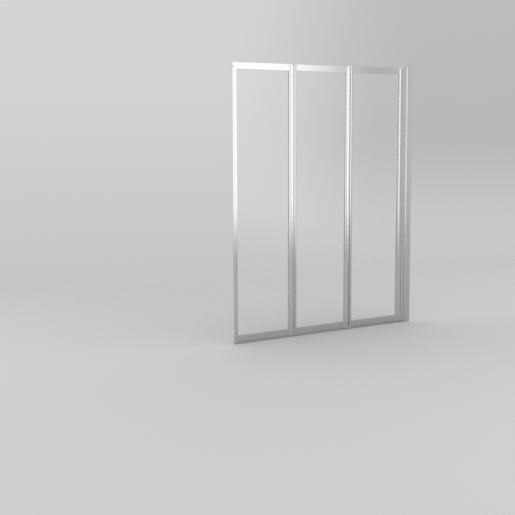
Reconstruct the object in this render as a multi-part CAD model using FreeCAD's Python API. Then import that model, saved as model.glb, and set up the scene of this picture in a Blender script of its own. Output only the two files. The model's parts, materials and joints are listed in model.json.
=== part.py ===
import FreeCAD, Part
import os
from math import asin, cos, radians, sin, sqrt

# Framed three-leaf folding bath screen, in millimetres, +Z up.
# X runs along the bath rim. The wall plane is X = 0 and the screen reaches out to -X.
# Y runs across the rim, with the room on the -Y side and the bath on the +Y side.
# The origin is where the wall plane, the screen's middle plane and the rim meet.

# Whole screen
screen_height = 1400.0
leaf_width = 357.5
leaf_gap = 2.5
leaf_drop = 9.0
rim_clearance = 1.0

# Wall channel
channel_depth = 40.0
channel_wall = 1.6
channel_web = 2.0
lip_run = 14.0
lip_drop = 3.6
wall_hole_radius = 2.75
wall_hole_count = 4
wall_hole_margin = 100.0

# Hinge post that slides in the channel
post_show = 20.0
post_wall = 1.5
post_nose_radius = 2.0
post_leg = 10.0
post_leg_margin = 2.0
post_lift = 3.0
slide_clearance = 0.3

# Lid on the wall channel
wall_cap_thickness = 3.0
wall_cap_chamfer = 0.8
wall_cap_plug = 8.0
wall_cap_plug_gap = 1.0

# Screws that lock the post in the channel, and the caps over their heads
lock_screw_count = 3
lock_screw_margin = 200.0
lock_screw_radius = 1.75
lock_screw_length = 7.0
lock_head_radius = 4.0
lock_head_height = 2.2
lock_cap_radius = 6.5
lock_cap_wall = 1.0
lock_cap_round = 1.0

# Stiles
stile_wall = 1.5
hinge_stile_width = 28.0
hinge_edge_half = 8.5
hinge_crown_half = 11.5
hinge_crown_run = 5.5
edge_step = 0.5
joint_edge_radius = 3.0
joint_head_clearance = 0.6
free_head_clearance = 2.5
stile_cap_thickness = 3.0
stile_cap_plug = 10.0
plug_clearance = 0.1

# Rails
rail_height = 34.0
rail_half = 6.5
rail_inset = 0.3
rail_wall = 1.5
rail_edge_radius = 2.0

# Glass and its gasket
glass_thickness = 3.0
groove_depth = 9.0
gasket_side = 1.6
gasket_base = 1.3
gasket_proud = 0.7
gasket_clearance = 0.1

# Seals
seal_slot = 3.0
seal_neck_clearance = 0.1
seal_barb_grip = 1.1
seal_barb_height = 1.2
bottom_seal_height = 9.0
bottom_seal_half = 6.0
bottom_seal_plate = 1.8
bottom_seal_tip = 0.8
bottom_seal_inset = 1.0
gap_seal_half = 4.0
gap_seal_clearance = 0.5
gap_seal_inset = 2.0

# Hinges
pin_radius = 2.0
pin_tail = 8.0
pin_head_overhang = 1.4
pin_head_height = 1.5
press_clearance = 0.02
running_clearance = 0.05
bush_wall = 0.95
bush_clearance = 0.05
bush_length = 15.0
bush_flange = 1.0
bush_flange_inset = 0.3
barrel_wall = 1.45
barrel_face_gap = 1.0
neck_run = 10.5
neck_angle = 25.0
neck_sink = 0.7
bracket_height = 8.0
thrust_gap = 0.1
end_float = 0.3

# Screws of the leaf frames
thread_clearance = 0.1
corner_screw_radius = 1.9
corner_screw_bite = 22.0
corner_head_radius = 3.5
corner_head_height = 2.4
corner_access_clearance = 0.2
corner_port_wall = 1.4
corner_port_sink = 0.6
bracket_screw_radius = 1.65
bracket_screw_bite = 20.0
bracket_screw_inset = 7.0
bracket_head_radius = 3.3
bracket_head_height = 1.8
bracket_port_wall = 1.15
bracket_port_sink = 0.5
recess_width = 0.8
recess_length = 3.0
recess_depth = 1.0
plug_flange = 0.8
plug_flange_height = 0.9

# Cover on the lower end of the inner leaf's hinge stile
foot_cover_height = 30.0
foot_cover_thickness = 1.2
foot_cover_margin = 2.5
foot_cover_clearance = 0.05

# Thicknesses and widths that follow from the sizes above
joint_half = hinge_edge_half - edge_step
post_half = joint_half
glass_side_half = rail_half + rail_inset
channel_half = post_half + slide_clearance + channel_wall + lip_drop
channel_inner_half = channel_half - channel_wall
post_leg_half = channel_inner_half - slide_clearance
post_step_x = -(channel_depth - lip_run - post_leg_margin)
post_back_x = post_step_x + post_leg
groove_half = glass_thickness / 2 + gasket_side + gasket_clearance
glass_edge = groove_depth - gasket_base - gasket_clearance
nose_head_room = joint_half - sqrt((joint_half - stile_wall) ** 2 - corner_head_radius ** 2)
free_web = nose_head_room + corner_head_height + free_head_clearance
free_stile_width = free_web + stile_wall + groove_depth
joint_web = stile_wall + corner_head_height + joint_head_clearance
joint_stile_width = joint_web + stile_wall + groove_depth
hinge_web = hinge_stile_width - groove_depth - stile_wall
rail_web = rail_height - groove_depth - rail_wall
seal_neck_half = seal_slot / 2 - seal_neck_clearance
seal_barb_half = seal_slot / 2 + seal_barb_grip

# Radii that follow from the sizes above
bush_bore = pin_radius + running_clearance
bush_radius = bush_bore + bush_wall
barrel_bore = bush_radius + bush_clearance
barrel_radius = barrel_bore + barrel_wall
bush_flange_radius = barrel_radius - bush_flange_inset
pin_head_radius = pin_radius + pin_head_overhang
corner_hole_radius = corner_screw_radius + thread_clearance
corner_access_radius = corner_head_radius + corner_access_clearance
corner_port_radius = corner_hole_radius + corner_port_wall
bracket_hole_radius = bracket_screw_radius + thread_clearance
bracket_port_radius = bracket_hole_radius + bracket_port_wall

# Places that follow from the sizes above
leaf_names = ["inner", "middle", "outer"]
hinge_sides = [1, -1, 1]
wall_depth = channel_depth + post_show
leaf_rights = [-wall_depth - leaf_gap - i * (leaf_width + leaf_gap) for i in range(3)]
hinge_xs = [right + leaf_gap / 2 for right in leaf_rights]
hinge_offset = hinge_edge_half + barrel_face_gap + barrel_radius
leaf_bottom = rim_clearance + bottom_seal_height
leaf_top = screen_height - leaf_drop
leaf_ends = ((leaf_bottom, 1), (leaf_top, -1))
channel_top = screen_height - wall_cap_thickness
barrel_bottom = leaf_bottom + bracket_height + end_float + bush_flange
barrel_top = leaf_top - bracket_height - thrust_gap - bush_flange
pin_length = bracket_height + bush_flange + bush_length + pin_tail
corner_screw_rise = rail_web - corner_port_radius + corner_port_sink
corner_heights = [leaf_bottom + corner_screw_rise, leaf_top - corner_screw_rise]
lock_x = (post_step_x + post_back_x) / 2


# Drawing helpers

touch = 1e-6


def at(x, y, z=0.0):
    return FreeCAD.Vector(x, y, z)


def mirrored(spot):
    return at(spot.x, -spot.y, spot.z)


def line(start, end):
    return Part.LineSegment(start, end).toShape()


def arc(start, middle, end):
    return Part.Arc(start, middle, end).toShape()


def face_of(edges):
    return Part.Face(Part.Wire(Part.__sortEdges__(edges)))


def polygon(corners):
    return Part.Face(Part.makePolygon(corners + corners[:1]))


def disc(radius, centre):
    return Part.Face(Part.Wire(Part.makeCircle(radius, centre)))


def upright(face, ends):
    lifted = face.translated(at(0, 0, min(ends)))
    return lifted.extrude(at(0, 0, max(ends) - min(ends)))


def block(x_ends, y_ends, z_ends):
    low = at(min(x_ends), min(y_ends), min(z_ends))
    high = at(max(x_ends), max(y_ends), max(z_ends))
    size = high - low
    return Part.makeBox(size.x, size.y, size.z, low)


def rod(radius, start, end):
    return Part.makeCylinder(radius, (end - start).Length, start, end - start)


def joined(first, *others):
    return first.fuse(list(others)).removeSplitter()


def spaced(count, first, last):
    return [first + (last - first) * i / (count - 1) for i in range(count)]


def easing_radius(run, drop):
    # Radius of an arc that sets off straight along its run and ends lower by its drop.
    return (run * run + drop * drop) / (2 * drop)


def easing_drop(along, run, drop):
    # How far such an arc has come down after a part of its run.
    radius = easing_radius(run, drop)
    return radius - sqrt(radius ** 2 - along ** 2)


def easing_middle(run, drop):
    # Half-way point of such an arc, along and down.
    radius = easing_radius(run, drop)
    half_turn = asin(run / radius) / 2
    return radius * sin(half_turn), radius * (1 - cos(half_turn))


def round_upright(solid, radius, corner):
    # Rounds the vertical edge that stands on a plan point.
    def stands_on_corner(edge):
        return all((at(v.X, v.Y) - corner).Length < touch for v in edge.Vertexes)

    return solid.makeFillet(radius, [edge for edge in solid.Edges if stands_on_corner(edge)])


def round_headed(radius, seat, outward, height, rounding):
    # Disc on a seat whose outer rim is rounded.
    head = rod(radius, seat, seat + outward * height)
    rims = [e for e in head.Edges if (e.CenterOfMass - seat).dot(outward) > height - touch]
    return head.makeFillet(rounding, rims[:1])


# Fasteners

def cross_recess(centre, outward, across):
    # Two crossed slots sunk into a screw head.
    other = outward.cross(across)
    slots = []
    for long_way, short_way in ((across, other), (other, across)):
        reach = long_way * (recess_length / 2)
        width = short_way * (recess_width / 2)
        corners = [reach + width, reach - width, width * -1 - reach, width - reach]
        slot = polygon([centre + corner for corner in corners])
        slots.append(slot.extrude(outward * -recess_depth))
    return slots[0].fuse(slots[1])


def pan_screw(seat, outward, shank_radius, length, head_radius, head_height):
    # Screw with a rounded head on its seat and its shank running inwards.
    shank = rod(shank_radius, seat - outward * length, seat)
    head = round_headed(head_radius, seat, outward, head_height, head_height / 2)
    recess = cross_recess(seat + outward * head_height, outward, at(0, 0, 1))
    return joined(shank, head).cut(recess)


def countersunk_screw(face_point, outward):
    # Bracket screw whose conical head ends flush with the bracket's face.
    length = bracket_height + bracket_screw_bite
    shank = rod(bracket_screw_radius, face_point - outward * length, face_point)
    head = Part.makeCone(
        bracket_head_radius, bracket_screw_radius, bracket_head_height, face_point, outward * -1
    )
    return joined(shank, head).cut(cross_recess(face_point, outward, at(1, 0, 0)))


# Wall frame

def channel_side(half):
    # Plan points of one side of the channel at a half width: wall, start of the lip, its middle, its end.
    lip_start = -(channel_depth - lip_run)
    run, fall = easing_middle(lip_run, lip_drop)
    return [
        at(0, half),
        at(lip_start, half),
        at(lip_start - run, half - fall),
        at(-channel_depth, half - lip_drop),
    ]


def both_sides(edges_of_side):
    # Edges of a plan outline drawn once on the +Y side and once mirrored on the -Y side.
    return edges_of_side(lambda spot: spot) + edges_of_side(mirrored)


def wall_channel():
    outer = channel_side(channel_half)
    inner = channel_side(channel_inner_half)
    inner[0] = at(-channel_web, channel_inner_half)

    def side_edges(flip):
        o = [flip(spot) for spot in outer]
        i = [flip(spot) for spot in inner]
        return [
            line(o[0], o[1]), arc(o[1], o[2], o[3]), line(o[3], i[3]),
            arc(i[3], i[2], i[1]), line(i[1], i[0]),
        ]

    backs = [line(inner[0], mirrored(inner[0])), line(outer[0], mirrored(outer[0]))]
    channel = upright(face_of(both_sides(side_edges) + backs), (0, channel_top))
    holes = []
    for z in spaced(wall_hole_count, wall_hole_margin, screen_height - wall_hole_margin):
        holes.append(rod(wall_hole_radius, at(-channel_web, 0, z), at(0, 0, z)))
    hole_radius = lock_screw_radius + slide_clearance
    for z in lock_heights():
        holes.append(rod(hole_radius, at(lock_x, channel_inner_half, z), at(lock_x, channel_half, z)))
    return channel.cut(holes)


def lock_heights():
    return spaced(lock_screw_count, lock_screw_margin, screen_height - lock_screw_margin)


def hinge_post():
    inside = post_half - post_wall
    leg_inside = post_leg_half - post_wall
    side = [
        at(-wall_depth, post_half),
        at(post_step_x, post_half),
        at(post_step_x, post_leg_half),
        at(post_back_x, post_leg_half),
        at(post_back_x, leg_inside),
        at(post_step_x + post_wall, leg_inside),
        at(post_step_x + post_wall, inside),
        at(-wall_depth + post_wall, inside),
    ]
    section = polygon(side + [mirrored(spot) for spot in reversed(side)])
    post = upright(section, (post_lift, channel_top))
    post = round_upright(post, post_nose_radius, at(-wall_depth, -hinge_sides[0] * post_half))
    post = with_barrel(post, hinge_xs[0], hinge_sides[0])
    tapping = lock_screw_radius + thread_clearance
    holes = []
    for z in lock_heights():
        holes.append(rod(tapping, at(lock_x, leg_inside, z), at(lock_x, post_leg_half, z)))
    return post.cut(holes)


def wall_cap():
    outer = channel_side(channel_half)
    mouth = at(-channel_depth, post_half)
    nose = at(-wall_depth, post_half)

    def side_edges(flip):
        o = [flip(spot) for spot in outer]
        return [
            line(o[0], o[1]), arc(o[1], o[2], o[3]), line(o[3], flip(mouth)),
            line(flip(mouth), flip(nose)),
        ]

    ends = [line(nose, mirrored(nose)), line(outer[0], mirrored(outer[0]))]
    plate = upright(face_of(both_sides(side_edges) + ends), (channel_top, screen_height))

    def on_top_rim(edge):
        return edge.BoundBox.ZMin > screen_height - touch and edge.BoundBox.XMin < -touch

    plate = plate.makeChamfer(wall_cap_chamfer, [edge for edge in plate.Edges if on_top_rim(edge)])
    plug = block(
        (post_back_x + wall_cap_plug_gap, -channel_web - wall_cap_plug_gap),
        (-post_leg_half, post_leg_half),
        (channel_top - wall_cap_plug, channel_top),
    )
    return joined(plate, plug)


def lock_screws():
    outward = at(0, 1, 0)
    screws = []
    for z in lock_heights():
        seat = at(lock_x, channel_half, z)
        head = (lock_head_radius, lock_head_height)
        screws.append(pan_screw(seat, outward, lock_screw_radius, lock_screw_length, *head))
    return Part.makeCompound(screws)


def lock_caps():
    outward = at(0, 1, 0)
    cavity_height = lock_head_height + slide_clearance
    caps = []
    for z in lock_heights():
        seat = at(lock_x, channel_half, z)
        cap = round_headed(lock_cap_radius, seat, outward, cavity_height + lock_cap_wall, lock_cap_round)
        cavity = rod(lock_head_radius + slide_clearance, seat, seat + outward * cavity_height)
        caps.append(cap.cut(cavity))
    return Part.makeCompound(caps)


# Hinges

def with_barrel(stile, x, side):
    # Adds a hinge barrel to the -X edge of a post or joint stile, on one of its two faces.
    axis = at(x, side * hinge_offset)
    face_drop = hinge_offset - joint_half
    edge_run = leaf_gap / 2
    angle = radians(neck_angle)
    outline = [
        (edge_run, face_drop + neck_sink),
        (edge_run, 0),
        (barrel_radius * cos(angle), -barrel_radius * sin(angle)),
        (neck_run, face_drop),
        (neck_run, face_drop + neck_sink),
    ]
    neck = polygon([axis + at(run, -side * drop) for run, drop in outline])
    ends = (barrel_bottom, barrel_top)
    added = upright(joined(neck, disc(barrel_radius, axis)), ends)
    return joined(stile, added).cut(upright(disc(barrel_bore, axis), ends))


def bushes(x, side):
    # Flanged bushes in both ends of a hinge barrel.
    pair = []
    for end, inward in ((barrel_bottom, 1), (barrel_top, -1)):
        seat = at(x, side * hinge_offset, end)
        deep = seat + at(0, 0, inward * bush_length)
        proud = seat - at(0, 0, inward * bush_flange)
        bush = joined(rod(bush_radius, seat, deep), rod(bush_flange_radius, proud, seat))
        pair.append(bush.cut(rod(bush_bore, proud, deep)))
    return Part.makeCompound(pair)


def hinge_pins(x, side):
    # Pins pressed into the bracket ears from outside, each with a rounded head.
    pair = []
    for end, inward in leaf_ends:
        seat = at(x, side * hinge_offset, end)
        shank = rod(pin_radius, seat, seat + at(0, 0, inward * pin_length))
        outward = at(0, 0, -inward)
        head = round_headed(pin_head_radius, seat, outward, pin_head_height, pin_head_height / 2)
        pair.append(joined(shank, head))
    return Part.makeCompound(pair)


def bracket_screw_spots(right):
    # Plan points of the two bracket screws, whose ports lean on the hinge stile's crowned walls.
    x = right - bracket_screw_inset
    y = crown_at(bracket_screw_inset) - stile_wall - bracket_port_radius + bracket_port_sink
    return [at(x, y), at(x, -y)]


def hinge_bracket(right, x, side, end, inward):
    # Casting on the end of a hinge stile, with an ear that stands on the hinge axis.
    ends = (end, end + inward * bracket_height)
    axis = at(x, side * hinge_offset)
    arm_foot = hinge_offset - crown_at(neck_run)
    edge_foot = hinge_offset - hinge_edge_half
    outline = [
        (0, 0),
        (0, barrel_radius - neck_sink),
        (leaf_gap / 2 + neck_sink, edge_foot + neck_sink),
        (neck_run, arm_foot + neck_sink),
        (neck_run, arm_foot),
        (barrel_radius, 0),
    ]
    arm = polygon([axis + at(-run, -side * drop) for run, drop in outline])
    faces = [hinge_stile_face(right), disc(barrel_radius, axis), arm]
    bracket = joined(*[upright(face, ends) for face in faces])
    holes = [upright(disc(pin_radius + press_clearance, axis), ends)]
    for spot in bracket_screw_spots(right):
        holes.append(upright(disc(bracket_hole_radius, spot), ends))
        sink_radius = bracket_head_radius + thread_clearance
        face_point = spot + at(0, 0, end)
        inwards = at(0, 0, inward)
        holes.append(
            Part.makeCone(sink_radius, bracket_hole_radius, bracket_head_height, face_point, inwards)
        )
    return bracket.cut(holes)


def bracket_screws(right):
    screws = []
    for end, inward in leaf_ends:
        for spot in bracket_screw_spots(right):
            screws.append(countersunk_screw(spot + at(0, 0, end), at(0, 0, -inward)))
    return Part.makeCompound(screws)


# Stiles

def crown_at(run):
    # Half thickness of the hinge stile at a distance from its hinge edge; it is thickest on its crown line.
    if run < hinge_crown_run:
        fall = easing_drop(hinge_crown_run - run, hinge_crown_run, hinge_crown_half - hinge_edge_half)
    else:
        glass_run = hinge_stile_width - hinge_crown_run
        fall = easing_drop(run - hinge_crown_run, glass_run, hinge_crown_half - glass_side_half)
    return hinge_crown_half - fall


def crowned_face(right, run_ends, inset):
    # Plan of the hinge stile between two distances from its hinge edge, drawn in by an inset.
    first, last = run_ends
    middles = [(first + hinge_crown_run) / 2, (hinge_crown_run + last) / 2]
    runs = [first, middles[0], hinge_crown_run, middles[1], last]
    upper = [at(right - run, crown_at(run) - inset) for run in runs]
    lower = [mirrored(spot) for spot in upper]
    edges = [line(upper[4], lower[4]), line(lower[0], upper[0])]
    for side in (upper, lower):
        edges += [arc(*side[:3]), arc(*side[2:])]
    return face_of(edges)


def hinge_stile_face(right):
    return crowned_face(right, (0, hinge_stile_width), 0)


def groove(frame_edge, inward, ends):
    # Glazing groove of an upright; inward is -1 or +1, from its glass edge into its body.
    x_ends = (frame_edge, frame_edge + inward * groove_depth)
    return block(x_ends, (-groove_half, groove_half), ends)


def corner_holes(outer_face, wall_depth_x, web_face, inward):
    # Holes for the corner screws: one through the outer wall for the driver, one through the web.
    holes = []
    for z in corner_heights:
        mouth = at(outer_face, 0, z)
        web = at(web_face, 0, z)
        holes.append(rod(corner_access_radius, mouth, mouth + at(inward * wall_depth_x, 0, 0)))
        holes.append(rod(corner_hole_radius, web, web + at(inward * stile_wall, 0, 0)))
    return holes


def hinge_stile(right):
    ends = (leaf_bottom + bracket_height, leaf_top - bracket_height)
    ports = bracket_screw_spots(right)
    chamber = upright(crowned_face(right, (stile_wall, hinge_web), stile_wall), ends)
    chamber = chamber.cut([upright(disc(bracket_port_radius, spot), ends) for spot in ports])
    cuts = [chamber, groove(right - hinge_stile_width, 1, ends)]
    cuts.append(block((right, right - stile_wall), (-seal_slot / 2, seal_slot / 2), ends))
    cuts += [upright(disc(bracket_hole_radius, spot), ends) for spot in ports]
    cuts += corner_holes(right, stile_wall, right - hinge_web, -1)
    return upright(hinge_stile_face(right), ends).cut(cuts)


def joint_plate(left, side, ends):
    # Body of a joint stile or of its cap: it thins towards the glass, and its edge away from the
    # hinge barrel is rounded.
    run, fall = easing_middle(joint_stile_width, joint_half - glass_side_half)
    upper = [
        at(left, joint_half),
        at(left + run, joint_half - fall),
        at(left + joint_stile_width, glass_side_half),
    ]
    lower = [mirrored(spot) for spot in upper]
    sides = [line(upper[0], lower[0]), line(upper[2], lower[2])]
    body = upright(face_of([arc(*upper), arc(*lower)] + sides), ends)
    return round_upright(body, joint_edge_radius, at(left, -side * joint_half))


def joint_chamber(left, inset, ends):
    # Hollow between the joint stile's outer wall and the web behind its glazing groove.
    half = joint_half - stile_wall - inset
    return block((left + stile_wall + inset, left + joint_web - inset), (-half, half), ends)


def joint_stile(left, x, side):
    ends = (leaf_bottom + stile_cap_thickness, leaf_top - stile_cap_thickness)
    stile = with_barrel(joint_plate(left, side, ends), x, side)
    cuts = [groove(left + joint_stile_width, -1, ends), joint_chamber(left, 0, ends)]
    return stile.cut(cuts + corner_holes(left, stile_wall, left + joint_web, 1))


def joint_stile_caps(left, side):
    caps = []
    for end, inward in leaf_ends:
        seat = end + inward * stile_cap_thickness
        plate = joint_plate(left, side, (end, seat))
        plug = joint_chamber(left, plug_clearance, (seat, seat + inward * stile_cap_plug))
        caps.append(joined(plate, plug))
    return Part.makeCompound(caps)


def nosed_face(left, radius, back):
    # Plan of a round nose that faces -X, closed by a straight back; the nose turns about one centre.
    x = left + joint_half
    return face_of([
        line(at(back, -radius), at(x, -radius)),
        arc(at(x, -radius), at(x - radius, 0), at(x, radius)),
        line(at(x, radius), at(back, radius)),
        line(at(back, radius), at(back, -radius)),
    ])


def free_chamber(left, inset, ends):
    # Hollow inside the free stile's nose, in front of the web behind its glazing groove.
    nose = upright(nosed_face(left, joint_half - stile_wall - inset, left + free_stile_width), ends)
    return nose.common(block((left, left + free_web - inset), (-joint_half, joint_half), ends))


def free_stile(left):
    ends = (leaf_bottom + stile_cap_thickness, leaf_top - stile_cap_thickness)
    stile = upright(nosed_face(left, joint_half, left + free_stile_width), ends)
    cuts = [groove(left + free_stile_width, -1, ends), free_chamber(left, 0, ends)]
    return stile.cut(cuts + corner_holes(left, nose_head_room, left + free_web, 1))


def free_stile_caps(left):
    caps = []
    for end, inward in leaf_ends:
        seat = end + inward * stile_cap_thickness
        plate = upright(nosed_face(left, joint_half, left + free_stile_width), (end, seat))
        plug = free_chamber(left, plug_clearance, (seat, seat + inward * stile_cap_plug))
        caps.append(joined(plate, plug))
    return Part.makeCompound(caps)


def screw_plugs(left):
    # Plugs that close the corner-screw holes in the free stile's nose, with a lip that follows it.
    reach = corner_access_radius + plug_flange
    nose_centre = left + joint_half
    tip = left - plug_flange_height
    plugs = []
    for z in corner_heights:
        ends = (z - reach, z + reach)
        skin = upright(disc(joint_half + plug_flange_height, at(nose_centre, 0)), ends)
        nose = upright(disc(joint_half, at(nose_centre, 0)), ends)
        lip = rod(reach, at(tip, 0, z), at(nose_centre, 0, z)).common(skin).cut(nose)
        shank_radius = corner_access_radius - plug_clearance
        shank = rod(shank_radius, at(tip, 0, z), at(left + stile_wall, 0, z)).common(skin)
        plugs.append(joined(lip, shank))
    return Part.makeCompound(plugs)


# Rails

def rail(rail_ends, edge_z, inward, slotted):
    # Rail between two stiles. edge_z is its outer edge and inward points to the glass.
    start_x = min(rail_ends)
    length = at(max(rail_ends) - start_x, 0, 0)

    def spot(y, rise):
        return at(start_x, y, edge_z + inward * rise)

    def hollow(half, low_rise, high_rise):
        return block(rail_ends, (-half, half), (edge_z + inward * low_rise, edge_z + inward * high_rise))

    turn = rail_edge_radius * (1 - cos(radians(45)))
    flat_half = rail_half - rail_edge_radius
    edges = [line(spot(-flat_half, 0), spot(flat_half, 0))]
    for sign in (1, -1):
        low = spot(sign * rail_half, rail_edge_radius)
        edges.append(arc(spot(sign * flat_half, 0), spot(sign * (rail_half - turn), turn), low))
        edges.append(line(low, spot(sign * rail_half, rail_height)))
    edges.append(line(spot(rail_half, rail_height), spot(-rail_half, rail_height)))
    body = face_of(edges).extrude(length)
    port = spot(0, corner_screw_rise)
    chamber = hollow(rail_half - rail_wall, rail_wall, rail_web)
    chamber = chamber.cut(rod(corner_port_radius, port, port + length))
    cuts = [chamber, hollow(groove_half, rail_height - groove_depth, rail_height)]
    cuts.append(rod(corner_hole_radius, port, port + length))
    if slotted:
        cuts.append(hollow(seal_slot / 2, 0, rail_wall))
    return body.cut(cuts)


def corner_screws(right, rail_ends, far_web):
    # One screw at each corner, from the stiles' hollows into the rails' screw ports.
    near_web = right - hinge_web
    near = (near_web, at(1, 0, 0), near_web - max(rail_ends) + corner_screw_bite)
    far = (far_web, at(-1, 0, 0), min(rail_ends) - far_web + corner_screw_bite)
    head = (corner_head_radius, corner_head_height)
    screws = []
    for z in corner_heights:
        for x, outward, length in (near, far):
            screws.append(pan_screw(at(x, 0, z), outward, corner_screw_radius, length, *head))
    return Part.makeCompound(screws)


# Glass and seals

def pane_block(rail_ends, half, reach):
    # Block over the leaf's opening, reaching past the frame's inner edges on all four sides.
    x_ends = (min(rail_ends) - reach, max(rail_ends) + reach)
    z_ends = (leaf_bottom + rail_height - reach, leaf_top - rail_height + reach)
    return block(x_ends, (-half, half), z_ends)


def glass(rail_ends):
    return pane_block(rail_ends, glass_thickness / 2, glass_edge)


def gasket(rail_ends):
    half = glass_thickness / 2 + gasket_side
    ring = pane_block(rail_ends, half, groove_depth - gasket_clearance)
    opening = pane_block(rail_ends, half, -gasket_proud)
    return ring.cut([opening, glass(rail_ends)])


def bottom_seal(right, left, rail_ends, rounded):
    # Soft strip under a leaf: two wiping lips on a plate, and a barb held in the bottom rail.
    plate = leaf_bottom - bottom_seal_plate
    tip = bottom_seal_half - bottom_seal_tip
    root = bottom_seal_half - bottom_seal_plate
    half_section = [
        (bottom_seal_half, leaf_bottom),
        (bottom_seal_half, rim_clearance),
        (tip, rim_clearance),
        (root, plate),
    ]
    section = half_section + [(-y, z) for y, z in reversed(half_section)]
    start_x = left + bottom_seal_inset
    length = right - bottom_seal_inset - start_x
    strip = polygon([at(start_x, y, z) for y, z in section]).extrude(at(length, 0, 0))
    if rounded:
        nose = nosed_face(left, bottom_seal_half, right)
        strip = strip.common(upright(nose, (rim_clearance, leaf_bottom)))
    barb_low = leaf_bottom + rail_wall
    barb_high = barb_low + seal_barb_height
    neck = block(rail_ends, (-seal_neck_half, seal_neck_half), (leaf_bottom, barb_low))
    barb = block(rail_ends, (-seal_barb_half, seal_barb_half), (barb_low, barb_high))
    return joined(strip, neck, barb)


def gap_seal(right):
    # Soft strip on the hinge edge that closes most of the gap beside it.
    inset = bracket_height + gap_seal_inset
    ends = (leaf_bottom + inset, leaf_top - inset)
    edge = [at(right, -gap_seal_half), at(right, gap_seal_half)]
    crest = at(right + leaf_gap - gap_seal_clearance, 0)
    bulb = upright(face_of([arc(edge[0], crest, edge[1]), line(edge[1], edge[0])]), ends)
    wall_x = right - stile_wall
    neck = block((right, wall_x), (-seal_neck_half, seal_neck_half), ends)
    barb = block((wall_x, wall_x - seal_barb_height), (-seal_barb_half, seal_barb_half), ends)
    return joined(bulb, neck, barb)


def foot_cover(right):
    # Clip-on cover with a round top, on the room face of the inner hinge stile's lower end.
    run_ends = (foot_cover_margin, hinge_stile_width - foot_cover_margin)
    room_reach = (0, -2 * hinge_crown_half)
    top = leaf_bottom + foot_cover_height
    ends = (leaf_bottom, top)
    outside = crowned_face(right, run_ends, -foot_cover_clearance - foot_cover_thickness)
    inside = crowned_face(right, run_ends, -foot_cover_clearance)
    shell = upright(outside, ends).cut(upright(inside, ends))
    radius = hinge_stile_width / 2 - foot_cover_margin
    centre = at(right - hinge_stile_width / 2, 0, top - radius)
    round_top = rod(radius, centre, centre + at(0, room_reach[1], 0))
    x_ends = (right - run_ends[0], right - run_ends[1])
    straight = block(x_ends, room_reach, (leaf_bottom, top - radius))
    return shell.common(joined(straight, round_top))


# Assembly

def leaf_nodes(index):
    # All the pieces of one leaf, counted from the wall outwards.
    right = leaf_rights[index]
    left = right - leaf_width
    x, side = hinge_xs[index], hinge_sides[index]
    last = index == len(leaf_names) - 1
    far_width = free_stile_width if last else joint_stile_width
    far_web = left + (free_web if last else joint_web)
    rail_ends = (left + far_width, right - hinge_stile_width)
    pieces = {
        "hinge_stile": hinge_stile(right),
        "top_rail": rail(rail_ends, leaf_top, -1, False),
        "bottom_rail": rail(rail_ends, leaf_bottom, 1, True),
        "glass": glass(rail_ends),
        "gasket": gasket(rail_ends),
        "bottom_seal": bottom_seal(right, left, rail_ends, last),
        "gap_seal": gap_seal(right),
        "top_bracket": hinge_bracket(right, x, side, leaf_top, -1),
        "bottom_bracket": hinge_bracket(right, x, side, leaf_bottom, 1),
        "bracket_screws": bracket_screws(right),
        "corner_screws": corner_screws(right, rail_ends, far_web),
        "hinge_pins": hinge_pins(x, side),
    }
    if last:
        pieces["free_stile"] = free_stile(left)
        pieces["stile_caps"] = free_stile_caps(left)
        pieces["screw_plugs"] = screw_plugs(left)
    else:
        next_x, next_side = hinge_xs[index + 1], hinge_sides[index + 1]
        pieces["joint_stile"] = joint_stile(left, next_x, next_side)
        pieces["stile_caps"] = joint_stile_caps(left, next_side)
        pieces["bushes"] = bushes(next_x, next_side)
    if index == 0:
        pieces["foot_cover"] = foot_cover(right)
    return {f"{leaf_names[index]}_{name}": shape for name, shape in pieces.items()}


nodes = {
    "wall_channel": wall_channel(),
    "hinge_post": hinge_post(),
    "wall_cap": wall_cap(),
    "post_lock_screws": lock_screws(),
    "lock_screw_caps": lock_caps(),
    "post_bushes": bushes(hinge_xs[0], hinge_sides[0]),
}
for leaf_index in range(len(leaf_names)):
    nodes.update(leaf_nodes(leaf_index))

os.makedirs("parts", exist_ok=True)
for node_name, node_shape in nodes.items():
    node_shape.exportStep(f"parts/{node_name}.step")
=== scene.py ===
import bmesh
import bpy
import json
from math import asin, atan2, cos, degrees, radians, sin, sqrt
from mathutils import Matrix, Vector


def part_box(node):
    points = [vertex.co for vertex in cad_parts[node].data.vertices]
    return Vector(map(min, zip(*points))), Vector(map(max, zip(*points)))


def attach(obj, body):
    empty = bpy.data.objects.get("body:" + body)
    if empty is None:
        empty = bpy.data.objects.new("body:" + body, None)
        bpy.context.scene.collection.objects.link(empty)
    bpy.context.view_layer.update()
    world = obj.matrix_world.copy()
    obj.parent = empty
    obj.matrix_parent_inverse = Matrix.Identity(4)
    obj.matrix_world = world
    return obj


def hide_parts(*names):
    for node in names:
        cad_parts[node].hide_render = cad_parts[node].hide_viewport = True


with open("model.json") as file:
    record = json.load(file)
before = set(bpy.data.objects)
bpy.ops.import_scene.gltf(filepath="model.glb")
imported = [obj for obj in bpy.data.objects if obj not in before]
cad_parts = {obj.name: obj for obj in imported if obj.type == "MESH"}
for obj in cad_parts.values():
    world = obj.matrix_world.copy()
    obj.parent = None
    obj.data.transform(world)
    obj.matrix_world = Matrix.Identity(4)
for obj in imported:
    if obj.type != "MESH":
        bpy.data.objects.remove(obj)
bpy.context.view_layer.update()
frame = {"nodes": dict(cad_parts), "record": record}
nodes = frame["nodes"]
scene = bpy.context.scene
print("frame loaded:", len(nodes), "nodes")

# Camera, as the photograph was taken
cameraLook = {
    "place": (-3.7838, -4.2907, 1.0601),
    "yaw": 32.982,  # degrees from +Y towards +X
    "pitch": 7.054,  # degrees below the horizon
    "roll": -0.251,
    "focalPixels": 1026.31,
    "imageSide": 515,
    "sensor": 36.0,
}


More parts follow.
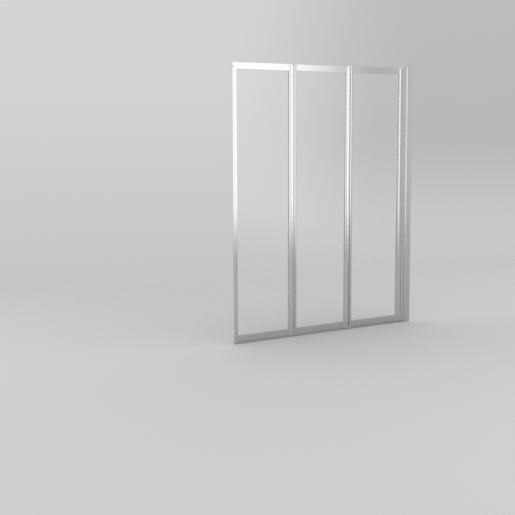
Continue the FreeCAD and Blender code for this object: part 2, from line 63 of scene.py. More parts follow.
def makeCamera(look):
    yaw, pitch, roll = (radians(look[key]) for key in ("yaw", "pitch", "roll"))
    ahead = Vector((sin(yaw) * cos(pitch), cos(yaw) * cos(pitch), -sin(pitch)))
    level = Vector((cos(yaw), -sin(yaw), 0))
    above = level.cross(ahead)
    right = level * cos(roll) + above * sin(roll)
    up = above * cos(roll) - level * sin(roll)
    data = bpy.data.cameras.new("photoCamera")
    data.sensor_width = look["sensor"]
    data.lens = look["focalPixels"] * look["sensor"] / look["imageSide"]
    camera = bpy.data.objects.new("photoCamera", data)
    turn = Matrix((right, up, -ahead)).transposed().to_4x4()
    camera.matrix_world = Matrix.Translation(look["place"]) @ turn
    scene.collection.objects.link(camera)
    scene.camera = camera


makeCamera(cameraLook)


# Small helpers for node trees
def addNode(tree, kind, **settings):
    node = tree.nodes.new(kind)
    for key, value in settings.items():
        setattr(node, key, value)
    return node


def softStep(tree, source, start, end):
    # 0 at start, 1 at end, eased in between
    step = addNode(tree, "ShaderNodeMapRange", interpolation_type="SMOOTHSTEP")
    step.inputs["From Min"].default_value = start
    step.inputs["From Max"].default_value = end
    tree.links.new(source, step.inputs["Value"])
    return step.outputs["Result"]


def combine(tree, operation, first, second):
    node = addNode(tree, "ShaderNodeMath", operation=operation)
    tree.links.new(first, node.inputs[0])
    tree.links.new(second, node.inputs[1])
    return node.outputs[0]


def valueBetween(tree, mask, first, second):
    spread = addNode(tree, "ShaderNodeMapRange")
    spread.inputs["To Min"].default_value = first
    spread.inputs["To Max"].default_value = second
    tree.links.new(mask, spread.inputs["Value"])
    return spread.outputs["Result"]


def colourBetween(tree, mask, first, second):
    mix = addNode(tree, "ShaderNodeMix", data_type="RGBA")
    mix.inputs["A"].default_value = (*first, 1)
    mix.inputs["B"].default_value = (*second, 1)
    tree.links.new(mask, mix.inputs["Factor"])
    return mix.outputs["Result"]


def newMaterial(name):
    material = bpy.data.materials.new(name)
    material.use_nodes = True
    tree = material.node_tree
    return material, tree, tree.nodes["Principled BSDF"]


# Studio: a plain backdrop, a floor that fades into it, and soft panels that only reflections show
backdrop = {
    "low": 0.52,  # tone where a view slopes down by lowSlope or more
    "high": 0.66,  # tone where it rises by highSlope or more
    "lowSlope": -0.28,
    "highSlope": 0.12,
    "shade": 0.76,  # share of the tone that the shaded side keeps
    "shadeWay": (1, 0.35, 0),  # towards the channel's side, behind the screen
    "shadeStart": 0.81,
    "shadeEnd": 0.93,
    "shadeFoot": -0.11,
    "shadeHead": 0.01,
    "ambient": 0.88,  # what lights the pieces
}


def makeBackdrop(look):
    world = bpy.data.worlds.new("studioWorld")
    world.use_nodes = True
    scene.world = world
    tree = world.node_tree
    tree.nodes.clear()
    path = addNode(tree, "ShaderNodeLightPath")
    seen = combine(tree, "MAXIMUM", path.outputs["Is Camera Ray"], path.outputs["Is Glossy Ray"])
    seen = combine(tree, "MAXIMUM", seen, path.outputs["Is Transmission Ray"])
    place = addNode(tree, "ShaderNodeTexCoord")
    parts = addNode(tree, "ShaderNodeSeparateXYZ")
    tree.links.new(place.outputs["Generated"], parts.inputs[0])
    slope = parts.outputs["Z"]
    rise = softStep(tree, slope, look["lowSlope"], look["highSlope"])
    toward = addNode(tree, "ShaderNodeVectorMath", operation="DOT_PRODUCT")
    toward.inputs[1].default_value = look["shadeWay"]
    tree.links.new(place.outputs["Generated"], toward.inputs[0])
    across = softStep(tree, toward.outputs["Value"], look["shadeStart"], look["shadeEnd"])
    above = softStep(tree, slope, look["shadeFoot"], look["shadeHead"])
    shade = combine(tree, "MULTIPLY", across, above)
    level = combine(
        tree, "MULTIPLY",
        valueBetween(tree, rise, look["low"], look["high"]),
        valueBetween(tree, shade, 1, look["shade"]),
    )
    strength = addNode(tree, "ShaderNodeMix", data_type="FLOAT")
    strength.inputs["A"].default_value = look["ambient"]
    tree.links.new(level, strength.inputs["B"])
    tree.links.new(seen, strength.inputs["Factor"])
    background = addNode(tree, "ShaderNodeBackground")
    background.inputs["Color"].default_value = (1, 1, 1, 1)
    tree.links.new(strength.outputs["Result"], background.inputs["Strength"])
    out = addNode(tree, "ShaderNodeOutputWorld")
    tree.links.new(background.outputs[0], out.inputs["Surface"])


floorLook = {
    "grey": 0.67,
    "farShadeGrey": 0.625,  # painted shade: the floor darkens behind the screen, as falling-off light would, to near the backdrop's tone
    "farStart": 0.1,
    "farEnd": 1.9,
    "rough": 0.8,
    "radius": 9.0,
    "segments": 96,
    "fadeStart": 2.5,  # all round
    "fadeEnd": 8.0,
    "behindStart": 1.2,  # behind the screen
    "behindEnd": 2.8,
}


def makeFloor(look):
    bm = bmesh.new()
    bmesh.ops.create_circle(bm, cap_ends=True, segments=look["segments"], radius=look["radius"])
    mesh = bpy.data.meshes.new("studioFloor")
    bm.to_mesh(mesh)
    bm.free()
    floor = bpy.data.objects.new("studioFloor", mesh)
    scene.collection.objects.link(floor)
    material, tree, shader = newMaterial("paleFloor")
    shader.inputs["Roughness"].default_value = look["rough"]
    place = addNode(tree, "ShaderNodeTexCoord")
    reach = addNode(tree, "ShaderNodeVectorMath", operation="LENGTH")
    tree.links.new(place.outputs["Object"], reach.inputs[0])
    near = softStep(tree, reach.outputs["Value"], look["fadeEnd"], look["fadeStart"])
    parts = addNode(tree, "ShaderNodeSeparateXYZ")
    tree.links.new(place.outputs["Object"], parts.inputs[0])
    # Painted shade: the floor's colour darkens from farStart to farEnd behind the screen, standing
    # in for light falling off
    far = softStep(tree, parts.outputs["Y"], look["farStart"], look["farEnd"])
    pale, paintedShadeGrey = ((grey, grey, grey) for grey in (look["grey"], look["farShadeGrey"]))
    tree.links.new(colourBetween(tree, far, pale, paintedShadeGrey), shader.inputs["Base Color"])
    front = softStep(tree, parts.outputs["Y"], look["behindEnd"], look["behindStart"])
    tree.links.new(combine(tree, "MULTIPLY", near, front), shader.inputs["Alpha"])
    mesh.materials.append(material)


softPanels = {
    "wallSidePanel": {
        "place": (0.2, -3.4, 1.56),
        "turn": 90,
        "size": (6.0, 2.88),
        "soft": (3.0, 1.2, 0.42, 0.8),  # left, right, foot, head
        "radiance": 1.79,
    },
    "wallStripPanel": {
        "place": (0.45, -0.445, 1.5),
        "turn": 90,
        "size": (0.88, 3.0),
        "soft": (0.25, 0.2, 1.0, 0.8),
        "radiance": 0.83,
    },
    "frontPanel": {
        "place": (-1.95, -2.5, 1.52),
        "turn": 0,
        "size": (4.1, 3.0),
        "soft": (0.6, 0.9, 0.47, 0.8),
        "radiance": 1.54,
    },
    "backPanel": {
        "place": (-2.3, 2.6, 1.5),
        "turn": 180,
        "size": (3.2, 3.0),
        "soft": (0.8, 0.8, 0.6, 0.8),
        "radiance": 1.2,
    },
    "freeSidePanel": {
        "place": (-4.4, -0.6, 1.6),
        "turn": -90,
        "size": (7.2, 3.2),
        "soft": (0.8, 0.8, 0.4, 0.8),
        "radiance": 1.79,
    },
}


def makeSoftPanel(name, look):
    width, height = look["size"]
    bm = bmesh.new()
    bmesh.ops.create_grid(bm, x_segments=1, y_segments=1, size=0.5)
    bmesh.ops.scale(bm, vec=(width, height, 1), verts=bm.verts[:])
    mesh = bpy.data.meshes.new(name)
    bm.to_mesh(mesh)
    bm.free()
    panel = bpy.data.objects.new(name, mesh)
    turn = Matrix.Rotation(radians(look["turn"]), 4, "Z") @ Matrix.Rotation(radians(90), 4, "X")
    panel.matrix_world = Matrix.Translation(look["place"]) @ turn
    scene.collection.objects.link(panel)
    material = bpy.data.materials.new(name + "Glow")
    material.use_nodes = True
    tree = material.node_tree
    tree.nodes.clear()
    place = addNode(tree, "ShaderNodeTexCoord")
    parts = addNode(tree, "ShaderNodeSeparateXYZ")
    tree.links.new(place.outputs["Object"], parts.inputs[0])
    left, right, foot, head = look["soft"]
    sides = combine(
        tree, "MULTIPLY",
        softStep(tree, parts.outputs["X"], -width / 2, left - width / 2),
        softStep(tree, parts.outputs["X"], width / 2, width / 2 - right),
    )
    ends = combine(
        tree, "MULTIPLY",
        softStep(tree, parts.outputs["Y"], -height / 2, foot - height / 2),
        softStep(tree, parts.outputs["Y"], height / 2, height / 2 - head),
    )
    glow = addNode(tree, "ShaderNodeEmission")
    glow.inputs["Strength"].default_value = look["radiance"]
    clear = addNode(tree, "ShaderNodeBsdfTransparent")
    blend = addNode(tree, "ShaderNodeMixShader")
    tree.links.new(combine(tree, "MULTIPLY", sides, ends), blend.inputs["Fac"])
    tree.links.new(clear.outputs[0], blend.inputs[1])
    tree.links.new(glow.outputs[0], blend.inputs[2])
    out = addNode(tree, "ShaderNodeOutputMaterial")
    tree.links.new(blend.outputs[0], out.inputs["Surface"])
    mesh.materials.append(material)
    panel.visible_camera = False
    panel.visible_transmission = False
    panel.visible_shadow = False
    panel.visible_diffuse = False


makeBackdrop(backdrop)
makeFloor(floorLook)
for panelName, panelLook in softPanels.items():
    makeSoftPanel(panelName, panelLook)
print("studio ready")


# Shared surface effects
def newGroup(name, inputs, outputs):
    group = bpy.data.node_groups.new(name, "ShaderNodeTree")
    for label, kind in inputs:
        group.interface.new_socket(name=label, in_out="INPUT", socket_type=kind)
    for label in outputs:
        group.interface.new_socket(name=label, in_out="OUTPUT", socket_type="NodeSocketFloat")
    return group, addNode(group, "NodeGroupInput"), addNode(group, "NodeGroupOutput")


def noise(tree, vector, scale, detail, rough=0.55):
    node = addNode(tree, "ShaderNodeTexNoise")
    node.inputs["Scale"].default_value = scale
    node.inputs["Detail"].default_value = detail
    node.inputs["Roughness"].default_value = rough
    tree.links.new(vector, node.inputs["Vector"])
    return node.outputs[0]


drawnGrain = {
    "Lines": {"scale": 2200, "detail": 2.0, "along": 0.004},
    "Streaks": {"scale": 260, "detail": 3.0, "along": 0.02},
}


def drawnGrainGroup(look):
    # Fine die lines and wider streaks, drawn out along the vector's Z
    group, given, made = newGroup("drawnGrain", [("Vector", "NodeSocketVector")], look)
    for label, mark in look.items():
        drawnOut = addNode(group, "ShaderNodeMapping")
        drawnOut.inputs["Scale"].default_value = (1, 1, mark["along"])
        group.links.new(given.outputs["Vector"], drawnOut.inputs["Vector"])
        marks = noise(group, drawnOut.outputs[0], mark["scale"], mark["detail"])
        group.links.new(marks, made.inputs[label])
    return group


handlingFilm = {
    "cloudScale": 7,
    "cloudDetail": 4.0,
    "spotScale": 60,
    "spotDetail": 3.0,
    "start": 0.18,
    "end": 0.42,
}


def handlingFilmGroup(look):
    # Thin uneven film that wet hands and drying water leave
    group, given, made = newGroup("handlingFilm", [("Vector", "NodeSocketVector")], ["Film"])
    clouds = noise(group, given.outputs["Vector"], look["cloudScale"], look["cloudDetail"])
    spots = noise(group, given.outputs["Vector"], look["spotScale"], look["spotDetail"])
    mixed = combine(group, "MULTIPLY", clouds, spots)
    group.links.new(softStep(group, mixed, look["start"], look["end"]), made.inputs["Film"])
    return group


mouldedSkin = {
    "Mottle": {"scale": 90, "detail": 3.0},
    "Spark": {"scale": 3200, "detail": 1.0},
}


def mouldedSkinGroup(look):
    # Slight mottling and fine spark texture of a moulded surface
    group, given, made = newGroup("mouldedSkin", [("Vector", "NodeSocketVector")], look)
    for label, mark in look.items():
        marks = noise(group, given.outputs["Vector"], mark["scale"], mark["detail"])
        group.links.new(marks, made.inputs[label])
    return group


effects = {
    "drawnGrain": drawnGrainGroup(drawnGrain),
    "handlingFilm": handlingFilmGroup(handlingFilm),
    "mouldedSkin": mouldedSkinGroup(mouldedSkin),
}


def useEffect(tree, name, vector):
    node = addNode(tree, "ShaderNodeGroup", node_tree=effects[name])
    tree.links.new(vector, node.inputs["Vector"])
    return node


def objectPlace(tree, turn=(0, 0, 0)):
    place = addNode(tree, "ShaderNodeTexCoord")
    if turn == (0, 0, 0):
        return place.outputs["Object"]
    mapping = addNode(tree, "ShaderNodeMapping")
    mapping.inputs["Rotation"].default_value = [radians(angle) for angle in turn]
    tree.links.new(place.outputs["Object"], mapping.inputs["Vector"])
    return mapping.outputs[0]


def addBump(tree, shader, height, strength, distance):
    bump = addNode(tree, "ShaderNodeBump")
    bump.inputs["Strength"].default_value = strength
    bump.inputs["Distance"].default_value = distance
    tree.links.new(height, bump.inputs["Height"])
    tree.links.new(bump.outputs["Normal"], shader.inputs["Normal"])


aluminium = {
    "dark": (0.535, 0.54, 0.545),
    "light": (0.59, 0.593, 0.596),
    "smooth": 0.10,
    "dull": 0.22,
    "filmShare": 0.5,  # of the dulling; die lines give the rest
    "lineBump": 0.35,
    "lineDepth": 0.000012,
}


def makeAluminium(name, look, turn):
    material, tree, shader = newMaterial(name)
    shader.inputs["Metallic"].default_value = 1
    vector = objectPlace(tree, turn)
    grain = useEffect(tree, "drawnGrain", vector)
    film = useEffect(tree, "handlingFilm", vector)
    colour = colourBetween(tree, grain.outputs["Streaks"], look["dark"], look["light"])
    tree.links.new(colour, shader.inputs["Base Color"])
    dulling = addNode(tree, "ShaderNodeMix", data_type="FLOAT")
    dulling.inputs["Factor"].default_value = look["filmShare"]
    tree.links.new(grain.outputs["Lines"], dulling.inputs["A"])
    tree.links.new(film.outputs["Film"], dulling.inputs["B"])
    rough = valueBetween(tree, dulling.outputs["Result"], look["smooth"], look["dull"])
    tree.links.new(rough, shader.inputs["Roughness"])
    addBump(tree, shader, grain.outputs["Lines"], look["lineBump"], look["lineDepth"])
    return material


clearGlass = {
    "tint": (0.975, 0.985, 0.98),
    "clear": (0.99, 0.995, 0.993),
    "filmRough": 0.02,
    "ior": 1.5,
}


def makeGlass(look):
    material, tree, shader = newMaterial("clearGlass")
    shader.inputs["Transmission Weight"].default_value = 1
    shader.inputs["IOR"].default_value = look["ior"]
    film = useEffect(tree, "handlingFilm", objectPlace(tree))
    colour = colourBetween(tree, film.outputs["Film"], look["clear"], look["tint"])
    tree.links.new(colour, shader.inputs["Base Color"])
    rough = valueBetween(tree, film.outputs["Film"], 0.0, look["filmRough"])
    tree.links.new(rough, shader.inputs["Roughness"])
    return material


sparkBump = 0.4
moulded = {
    "gasketRubber": {"tone": (0.76, 0.84), "rough": (0.5, 0.68), "depth": 0.00003},
    "gapSeal": {"tone": (0.66, 0.76), "rough": (0.38, 0.52), "depth": 0.00002},
    # The bottom seal's own grey is darkened as painted shade: a contact shadow line under the
    # bottom rails
    "bottomSealAndShadow": {"tone": (0.28, 0.36), "rough": (0.42, 0.56), "depth": 0.00002},
    "greyPlastic": {"tone": (0.38, 0.45), "rough": (0.34, 0.48), "depth": 0.00002},
    "bushPolymer": {"tone": (0.72, 0.8), "rough": (0.35, 0.45), "depth": 0.00001},
}


def makeMoulded(name, look):
    material, tree, shader = newMaterial(name)
    skin = useEffect(tree, "mouldedSkin", objectPlace(tree))
    dark, light = ((tone, tone, tone) for tone in look["tone"])
    colour = colourBetween(tree, skin.outputs["Mottle"], dark, light)
    tree.links.new(colour, shader.inputs["Base Color"])
    rough = valueBetween(tree, skin.outputs["Mottle"], *look["rough"])
    tree.links.new(rough, shader.inputs["Roughness"])
    addBump(tree, shader, skin.outputs["Spark"], sparkBump, look["depth"])
    return material


castMetals = {
    "silverLacquer": {"tone": (0.54, 0.6), "rough": (0.24, 0.34), "depth": 0.00001},
    "bracketAlloy": {"tone": (0.5, 0.58), "rough": (0.28, 0.42), "depth": 0.00003},
    "steel": {"tone": (0.5, 0.6), "rough": (0.2, 0.34), "depth": 0.00001},
}


def makeCastMetal(name, look):
    material = makeMoulded(name, look)
    material.node_tree.nodes["Principled BSDF"].inputs["Metallic"].default_value = 1
    return material


uprightAluminium = makeAluminium("uprightAluminium", aluminium, (0, 0, 0))
levelAluminium = makeAluminium("levelAluminium", aluminium, (0, 90, 0))
plainFinish = {name: makeMoulded(name, look) for name, look in moulded.items()}
metalFinish = {name: makeCastMetal(name, look) for name, look in castMetals.items()}
silverLacquer = metalFinish["silverLacquer"]
slotFinish = {
    "satin_aluminium": uprightAluminium,
    "clear_glass": makeGlass(clearGlass),
    "gasket_rubber": plainFinish["gasketRubber"],
    "soft_seal": plainFinish["gapSeal"],
    "grey_plastic": plainFinish["greyPlastic"],
    "bracket_alloy": metalFinish["bracketAlloy"],
    "steel": metalFinish["steel"],
    "bush_polymer": plainFinish["bushPolymer"],
}
# Nodes that differ from the rest of their slot, by what follows the leaf in their name
nodeFinish = {
    "stile_caps": silverLacquer,
    "bottom_seal": plainFinish["bottomSealAndShadow"],
}
for entry in frame["record"]["subparts"]:
    ending = entry["node"].partition("_")[2]
    node = nodes[entry["node"]]
    node.data.materials.clear()
    node.data.materials.append(nodeFinish.get(ending, slotFinish[entry["material_slot"]]))
print("finishes ready:", len(bpy.data.materials))


# Modelling helpers; the pieces are drawn in millimetres and made metres when they are settled
perMetre = 1000
mergeWithin = 0.001
edging = {"width": 0.35, "segments": 2, "angle": 32}


def nodeBox(name):
    low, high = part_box(name)
    return low * perMetre, high * perMetre


def only(kind, geom):
    return [part for part in geom if isinstance(part, kind)]


def startAt(bm, spot):
    return bmesh.ops.create_vert(bm, co=spot)["vert"][0]


def lineTo(bm, tip, *spots):
    # Straight on from spot to spot
    for spot in spots:
        tip = bmesh.ops.extrude_vert_indiv(bm, verts=[tip])["verts"][0]
        tip.co = spot
    return tip


def arcAbout(bm, tip, centre, angle, steps, axis=(0, 0, 1)):
    swept = bmesh.ops.spin(
        bm, geom=[tip], cent=centre, axis=axis, angle=radians(angle), steps=steps
    )
    return swept["geom_last"][0]


def easing(run, drop):
    # Radius and turn, in degrees, of an arc that sets off straight and ends lower by its drop
    radius = (run * run + drop * drop) / (2 * drop)
    return radius, degrees(asin(run / radius))


def fillOutline(bm):
    bmesh.ops.remove_doubles(bm, verts=bm.verts[:], dist=mergeWithin)
    return bmesh.ops.edgenet_fill(bm, edges=bm.edges[:])["faces"]


def mirrorOutline(bm):
    # The other half of an outline, joined straight across where the first stops short
    bmesh.ops.mirror(bm, geom=bm.verts[:] + bm.edges[:], axis="Y", merge_dist=mergeWithin)
    loose = [vert for vert in bm.verts if len(vert.link_edges) == 1]
    for vert in loose:
        if vert.co.y > 0:
            twin = [v for v in loose if v.co.y < 0 and v.co.xz == vert.co.xz]
            bmesh.ops.contextual_create(bm, geom=[vert] + twin)
    return fillOutline(bm)


def pull(bm, faces, *step):
    made = bmesh.ops.extrude_face_region(bm, geom=faces)["geom"]
    bmesh.ops.translate(bm, verts=only(bmesh.types.BMVert, made), vec=step)
    return only(bmesh.types.BMFace, made)


def settle(bm, name, body, node, finish, easedBy=edging["width"]):
    bmesh.ops.remove_doubles(bm, verts=bm.verts[:], dist=mergeWithin)
    bmesh.ops.recalc_face_normals(bm, faces=bm.faces[:])
    bmesh.ops.scale(bm, vec=[1 / perMetre] * 3, verts=bm.verts[:])
    for face in bm.faces:
        face.smooth = True
    mesh = bpy.data.meshes.new(name)
    bm.to_mesh(mesh)
    bm.free()
    mesh.materials.append(finish)
    piece = bpy.data.objects.new(name, mesh)
    scene.collection.objects.link(piece)
    eased = piece.modifiers.new("easedEdges", "BEVEL")
    eased.width = easedBy / perMetre
    eased.segments = edging["segments"]
    eased.limit_method = "ANGLE"
    eased.angle_limit = radians(edging["angle"])
    eased.harden_normals = True
    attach(piece, body)
    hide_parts(node)


def cutBelts(bm, heights, room):
    # Level cuts below and above each hole, so that its face is a short one
    for height in heights:
        for cut in (height - room, height + room):
            bmesh.ops.bisect_plane(
                bm, geom=bm.verts[:] + bm.edges[:] + bm.faces[:], dist=mergeWithin,
                plane_co=(0, 0, cut), plane_no=(0, 0, 1),
            )


holeSegments = 28


def openRing(bm, centre, radius):
    # Swaps the face about a centre, which looks along X, for one with a round opening
    face = min(bm.faces, key=lambda f: (f.calc_center_median() - centre).length)
    rim = face.edges[:]
    bmesh.ops.delete(bm, geom=[face], context="FACES_ONLY")
    turn = Matrix.Translation(centre) @ Matrix.Rotation(radians(90), 4, "Y")
    made = bmesh.ops.create_circle(
        bm, cap_ends=False, segments=holeSegments, radius=radius, matrix=turn
    )
    ring = list(dict.fromkeys(edge for vert in made["verts"] for edge in vert.link_edges))
    bmesh.ops.triangle_fill(bm, use_beauty=True, use_dissolve=False, edges=rim + ring)
    return ring


def drillPocket(bm, centre, radius, depth):
    ring = openRing(bm, centre, radius)
    made = bmesh.ops.extrude_edge_only(bm, edges=ring)["geom"]
    bmesh.ops.translate(bm, verts=only(bmesh.types.BMVert, made), vec=(depth, 0, 0))
    bmesh.ops.contextual_create(bm, geom=only(bmesh.types.BMEdge, made))


def drillThrough(bm, centre, radius, depth):
    ring = openRing(bm, centre, radius)
    farRing = openRing(bm, centre + Vector((depth, 0, 0)), radius)
    bmesh.ops.bridge_loops(bm, edges=ring + farRing)


# Wall channel, with lips that curve in towards the post
wallChannel = {
    "half": 13.5,
    "wall": 1.6,
    "web": 2.0,
    "depth": 40.0,
    "lipRun": 14.0,
    "lipDrop": 3.6,
    "holeHeights": (100, 500, 900, 1300),
    "holeRadius": 2.75,
    "holeRoom": 8,
    "arcSteps": 10,
}


def channelSide(bm, look):
    # One side's outer face, from the web to the end of its lip
    half, lipStart = look["half"], look["lipRun"] - look["depth"]
    radius, turn = easing(look["lipRun"], look["lipDrop"])
    tip = lineTo(bm, startAt(bm, (0, half, 0)), (lipStart, half, 0))
    return arcAbout(bm, tip, (lipStart, half - radius, 0), turn, look["arcSteps"])


def makeWallChannel(look):
    high = nodeBox("wall_channel")[1]
    inner = look["half"] - look["wall"]
    radius, turn = easing(look["lipRun"], look["lipDrop"])
    lipStart = look["lipRun"] - look["depth"]
    bm = bmesh.new()
    tip = channelSide(bm, look)
    tip = lineTo(bm, tip, (-look["depth"], inner - look["lipDrop"], 0))
    tip = arcAbout(bm, tip, (lipStart, inner - radius, 0), -turn, look["arcSteps"])
    lineTo(bm, tip, (-look["web"], inner, 0))
    pull(bm, mirrorOutline(bm), 0, 0, high.z)
    cutBelts(bm, look["holeHeights"], look["holeRoom"])
    for height in look["holeHeights"]:
        drillThrough(bm, Vector((0, 0, height)), look["holeRadius"], -look["web"])
    settle(bm, "channelProfile", "wall_frame", "wall_channel", uprightAluminium)


wallLid = {
    "nose": -60.0,
    "noseHalf": 8.0,
    "thick": 3.0,
    "rounding": 0.8,
    "roundingSegments": 3,
    "eased": 0.2,
}


def makeWallLid(look, under):
    high = nodeBox("wall_cap")[1]
    bm = bmesh.new()
    noseHalf = look["noseHalf"]
    lineTo(bm, channelSide(bm, under), (-under["depth"], noseHalf, 0), (look["nose"], noseHalf, 0))
    top = pull(bm, mirrorOutline(bm), 0, 0, look["thick"])[0]
    rim = [edge for edge in top.edges if sum(vert.co.x for vert in edge.verts) < 0]
    bmesh.ops.bevel(
        bm, geom=rim, offset=look["rounding"], segments=look["roundingSegments"],
        affect="EDGES", profile=0.5, material=-1,
    )
    bmesh.ops.translate(bm, verts=bm.verts[:], vec=(0, 0, high.z - look["thick"]))
    settle(
        bm, "channelLid", "wall_frame", "wall_cap", silverLacquer, look["eased"]
    )


makeWallChannel(wallChannel)
makeWallLid(wallLid, wallChannel)
print("wall channel and lid made")

# Hinge barrel that stands on the -X edge of the post and of the joint stiles
barrel = {
    "radius": 4.5,
    "edgeRun": 1.25,
    "offset": 14.0,
    "neckRun": 9.25,
    "neckAngle": 25,
    "foot": 19.3,
    "head": 1381.9,
    "steps": 30,
}


def drawBarrel(bm, corner, neckFoot, look):
    # From the stile's corner round the barrel and down its neck
    left = corner.co.x
    axis = Vector((left - look["edgeRun"], look["offset"], 0))
    drop = sqrt(look["radius"] ** 2 - look["edgeRun"] ** 2)
    tip = lineTo(bm, corner, (left, look["offset"] - drop, 0))
    start = degrees(atan2(-drop, look["edgeRun"]))
    tip = arcAbout(bm, tip, axis, look["neckAngle"] - 360 - start, look["steps"])
    lineTo(bm, tip, neckFoot)


def raiseBarrelled(bm, faces, ends, look):
    # The barrel stops short of the stile's ends, so the plate is pulled on alone
    faces = sorted(faces, key=lambda f: f.calc_area())
    bmesh.ops.delete(bm, geom=faces[2:], context="FACES_ONLY")  # a filling round both
    faces = faces[:2]
    bmesh.ops.translate(bm, verts=bm.verts[:], vec=(0, 0, look["foot"]))
    tops = pull(bm, faces, 0, 0, look["head"] - look["foot"])
    for layer, rise in ((tops, ends[1] - look["head"]), (faces, ends[0] - look["foot"])):
        plate = max(layer, key=lambda f: f.calc_area())
        pull(bm, [plate], 0, 0, rise)
        bmesh.ops.delete(bm, geom=[plate], context="FACES_ONLY")


hingePost = {
    "half": 8.0,
    "noseRadius": 2.0,
    "noseSteps": 6,
    "step": -24.0,
    "legHalf": 11.6,
}


def makeHingePost(look):
    low, high = nodeBox("hinge_post")
    left = low.x + barrel["radius"] + barrel["edgeRun"]
    half, nose, step, leg = look["half"], look["noseRadius"], look["step"], look["legHalf"]
    bm = bmesh.new()
    corner = startAt(bm, (left, half, 0))
    foot = lineTo(bm, corner, (left + barrel["neckRun"], half, 0))
    neckFoot = foot.co.copy()
    tip = lineTo(
        bm, foot, (step, half, 0), (step, leg, 0), (high.x, leg, 0),
        (high.x, -leg, 0), (step, -leg, 0), (step, -half, 0), (left + nose, -half, 0),
    )
    tip = arcAbout(bm, tip, (left + nose, nose - half, 0), -90, look["noseSteps"])
    lineTo(bm, tip, (left, half, 0))
    drawBarrel(bm, corner, neckFoot, barrel)
    raiseBarrelled(bm, fillOutline(bm), (low.z, high.z), barrel)
    settle(bm, "postProfile", "wall_frame", "hinge_post", uprightAluminium)


makeHingePost(hingePost)
print("hinge post made")

# Leaf frames: a crowned hinge stile, a far stile and two rails round each pane
glazing = {"grooveHalf": 3.2, "grooveDepth": 9.0, "sealSlotHalf": 1.5}


def closeGroove(bm, tip, glassSide, inward):
    # Half of the glazing groove, from the glass side of an upright into its body
    half, depth = glazing["grooveHalf"], glazing["grooveDepth"]
    lineTo(bm, tip, (glassSide, half, 0), (glassSide + inward * depth, half, 0))


hingeStile = {
    "edgeHalf": 8.5,
    "crownHalf": 11.5,
    "crownRun": 5.5,
    "glassHalf": 6.8,
    "slotDepth": 3.0,
    "arcSteps": 12,
}


def makeHingeStile(leaf, look):
    low, high = nodeBox(leaf + "_hinge_stile")
    right, slot = high.x, glazing["sealSlotHalf"]
    crown = right - look["crownRun"]
    bm = bmesh.new()
    tip = startAt(bm, (right - look["slotDepth"], slot, 0))
    tip = lineTo(bm, tip, (right, slot, 0), (right, look["edgeHalf"], 0))
    radius, turn = easing(look["crownRun"], look["crownHalf"] - look["edgeHalf"])
    tip = arcAbout(bm, tip, (crown, look["crownHalf"] - radius, 0), turn, look["arcSteps"])
    radius, turn = easing(crown - low.x, look["crownHalf"] - look["glassHalf"])
    tip = arcAbout(bm, tip, (crown, look["crownHalf"] - radius, 0), turn, look["arcSteps"])
    closeGroove(bm, tip, low.x, 1)
    bmesh.ops.translate(bm, verts=bm.verts[:], vec=(0, 0, low.z))
    pull(bm, mirrorOutline(bm), 0, 0, high.z - low.z)
    settle(
        bm, leaf + "HingeProfile", leaf + "_leaf", leaf + "_hinge_stile",
        uprightAluminium,
    )


jointStile = {
    "half": 8.0,
    "glassHalf": 6.8,
    "width": 15.0,
    "edgeRadius": 3.0,
    "edgeSteps": 5,
    "neckSteps": 4,  # up to the barrel's neck, past it, and on the plain side
    "pastNeckSteps": 3,
    "plainSteps": 6,
    "screwHeights": (30.7, 1370.3),
    "screwHole": 3.7,
    "screwDepth": 4.5,
    "screwRoom": 6,
}


def makeJointStile(leaf, look):
    low, high = nodeBox(leaf + "_joint_stile")
    side = 1 if high.y > -low.y else -1
    left = low.x + barrel["radius"] + barrel["edgeRun"]
    half, corner, glassSide = look["half"], look["edgeRadius"], left + look["width"]
    grooveHalf, grooveEnd = glazing["grooveHalf"], glassSide - glazing["grooveDepth"]
    radius, turn = easing(look["width"], half - look["glassHalf"])
    neckTurn = degrees(asin(barrel["neckRun"] / radius))
    cornerTurn = degrees(asin(corner / radius))
    bm = bmesh.new()
    start = startAt(bm, (left, half, 0))
    tip = arcAbout(bm, start, (left, half - radius, 0), -neckTurn, look["neckSteps"])
    neckFoot = tip.co.copy()
    tip = arcAbout(bm, tip, (left, half - radius, 0), neckTurn - turn, look["pastNeckSteps"])
    tip = lineTo(
        bm, tip, (glassSide, grooveHalf, 0), (grooveEnd, grooveHalf, 0),
        (grooveEnd, -grooveHalf, 0), (glassSide, -grooveHalf, 0),
        (glassSide, -look["glassHalf"], 0),
    )
    tip = arcAbout(bm, tip, (left, radius - half, 0), cornerTurn - turn, look["plainSteps"])
    tip = arcAbout(bm, tip, (left + corner, corner - half, 0), -90, look["edgeSteps"])
    lineTo(bm, tip, (left, half, 0))
    drawBarrel(bm, start, neckFoot, barrel)
    raiseBarrelled(bm, fillOutline(bm), (low.z, high.z), barrel)
    cutBelts(bm, look["screwHeights"], look["screwRoom"])
    for height in look["screwHeights"]:
        drillPocket(bm, Vector((left, 0, height)), look["screwHole"], look["screwDepth"])
    bmesh.ops.scale(bm, vec=(1, side, 1), verts=bm.verts[:])
    settle(
        bm, leaf + "JointProfile", leaf + "_leaf", leaf + "_joint_stile",
        uprightAluminium,
    )


freeStile = {"half": 8.0, "arcSteps": 14}


def makeFreeStile(look):
    low, high = nodeBox("outer_free_stile")
    half = look["half"]
    bm = bmesh.new()
    tip = startAt(bm, (low.x, 0, 0))
    tip = arcAbout(bm, tip, (low.x + half, 0, 0), -90, look["arcSteps"])
    tip = lineTo(bm, tip, (high.x, half, 0))
    closeGroove(bm, tip, high.x, -1)
    bmesh.ops.translate(bm, verts=bm.verts[:], vec=(0, 0, low.z))
    pull(bm, mirrorOutline(bm), 0, 0, high.z - low.z)
    settle(
        bm, "outerFreeProfile", "outer_leaf", "outer_free_stile",
        uprightAluminium,
    )


railLook = {
    "half": 6.5,
    "height": 34.0,
    "edgeRadius": 2.0,
    "slotDepth": 3.0,
    "arcSteps": 6,
}


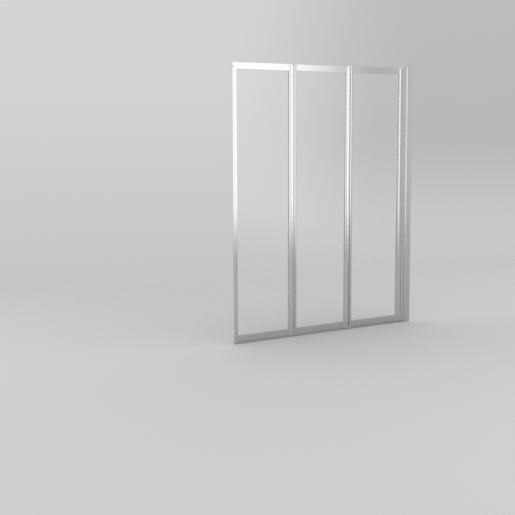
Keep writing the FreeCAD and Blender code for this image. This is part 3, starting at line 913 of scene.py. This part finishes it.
def makeRail(leaf, end, look):
    # Drawn as a bottom rail; a top rail is turned over
    low, high = nodeBox(leaf + "_" + end + "_rail")
    half, edge, slot = look["half"], look["edgeRadius"], glazing["sealSlotHalf"]
    height, grooveHalf = look["height"], glazing["grooveHalf"]
    grooveFloor = height - glazing["grooveDepth"]
    bm = bmesh.new()
    if end == "bottom":
        tip = startAt(bm, (low.x, slot, look["slotDepth"]))
        tip = lineTo(bm, tip, (low.x, slot, 0), (low.x, half - edge, 0))
    else:
        tip = startAt(bm, (low.x, half - edge, 0))
    tip = arcAbout(bm, tip, (low.x, half - edge, edge), 90, look["arcSteps"], (1, 0, 0))
    lineTo(
        bm, tip, (low.x, half, height), (low.x, grooveHalf, height),
        (low.x, grooveHalf, grooveFloor),
    )
    pull(bm, mirrorOutline(bm), high.x - low.x, 0, 0)
    if end == "top":
        bmesh.ops.scale(bm, vec=(1, 1, -1), verts=bm.verts[:])
    edgeHeight = low.z if end == "bottom" else high.z
    bmesh.ops.translate(bm, verts=bm.verts[:], vec=(0, 0, edgeHeight))
    name = leaf + end.capitalize() + "Rail"
    settle(bm, name, leaf + "_leaf", leaf + "_" + end + "_rail", levelAluminium)


gasketLook = {"ringWidth": 9.6, "outer": 3.1, "inner": 1.52, "eased": 0.5}


def makeGasket(leaf, look):
    # One bead frame on each face of the pane
    low, high = nodeBox(leaf + "_gasket")
    middle = (low + high) / 2
    bm = bmesh.new()
    bmesh.ops.create_grid(bm, x_segments=1, y_segments=1, size=0.5)
    bmesh.ops.scale(bm, vec=(high.x - low.x, high.z - low.z, 1), verts=bm.verts[:])
    bmesh.ops.rotate(bm, matrix=Matrix.Rotation(radians(90), 3, "X"), verts=bm.verts[:])
    bmesh.ops.translate(bm, verts=bm.verts[:], vec=(middle.x, look["inner"], middle.z))
    pane = bm.faces[:]
    bmesh.ops.inset_region(
        bm, faces=pane, thickness=look["ringWidth"], use_boundary=True, use_even_offset=True
    )
    bmesh.ops.delete(bm, geom=pane, context="FACES")
    pull(bm, bm.faces[:], 0, look["outer"] - look["inner"], 0)
    bmesh.ops.mirror(bm, geom=bm.verts[:] + bm.edges[:] + bm.faces[:], axis="Y", merge_dist=0)
    settle(
        bm, leaf + "Gasket", leaf + "_leaf", leaf + "_gasket",
        slotFinish["gasket_rubber"], look["eased"],
    )


for leaf in ("inner", "middle", "outer"):
    makeHingeStile(leaf, hingeStile)
    if leaf == "outer":
        makeFreeStile(freeStile)
    else:
        makeJointStile(leaf, jointStile)
    makeRail(leaf, "bottom", railLook)
    makeRail(leaf, "top", railLook)
    makeGasket(leaf, gasketLook)
    print(leaf, "leaf made")

scene.view_settings.view_transform = "Standard"
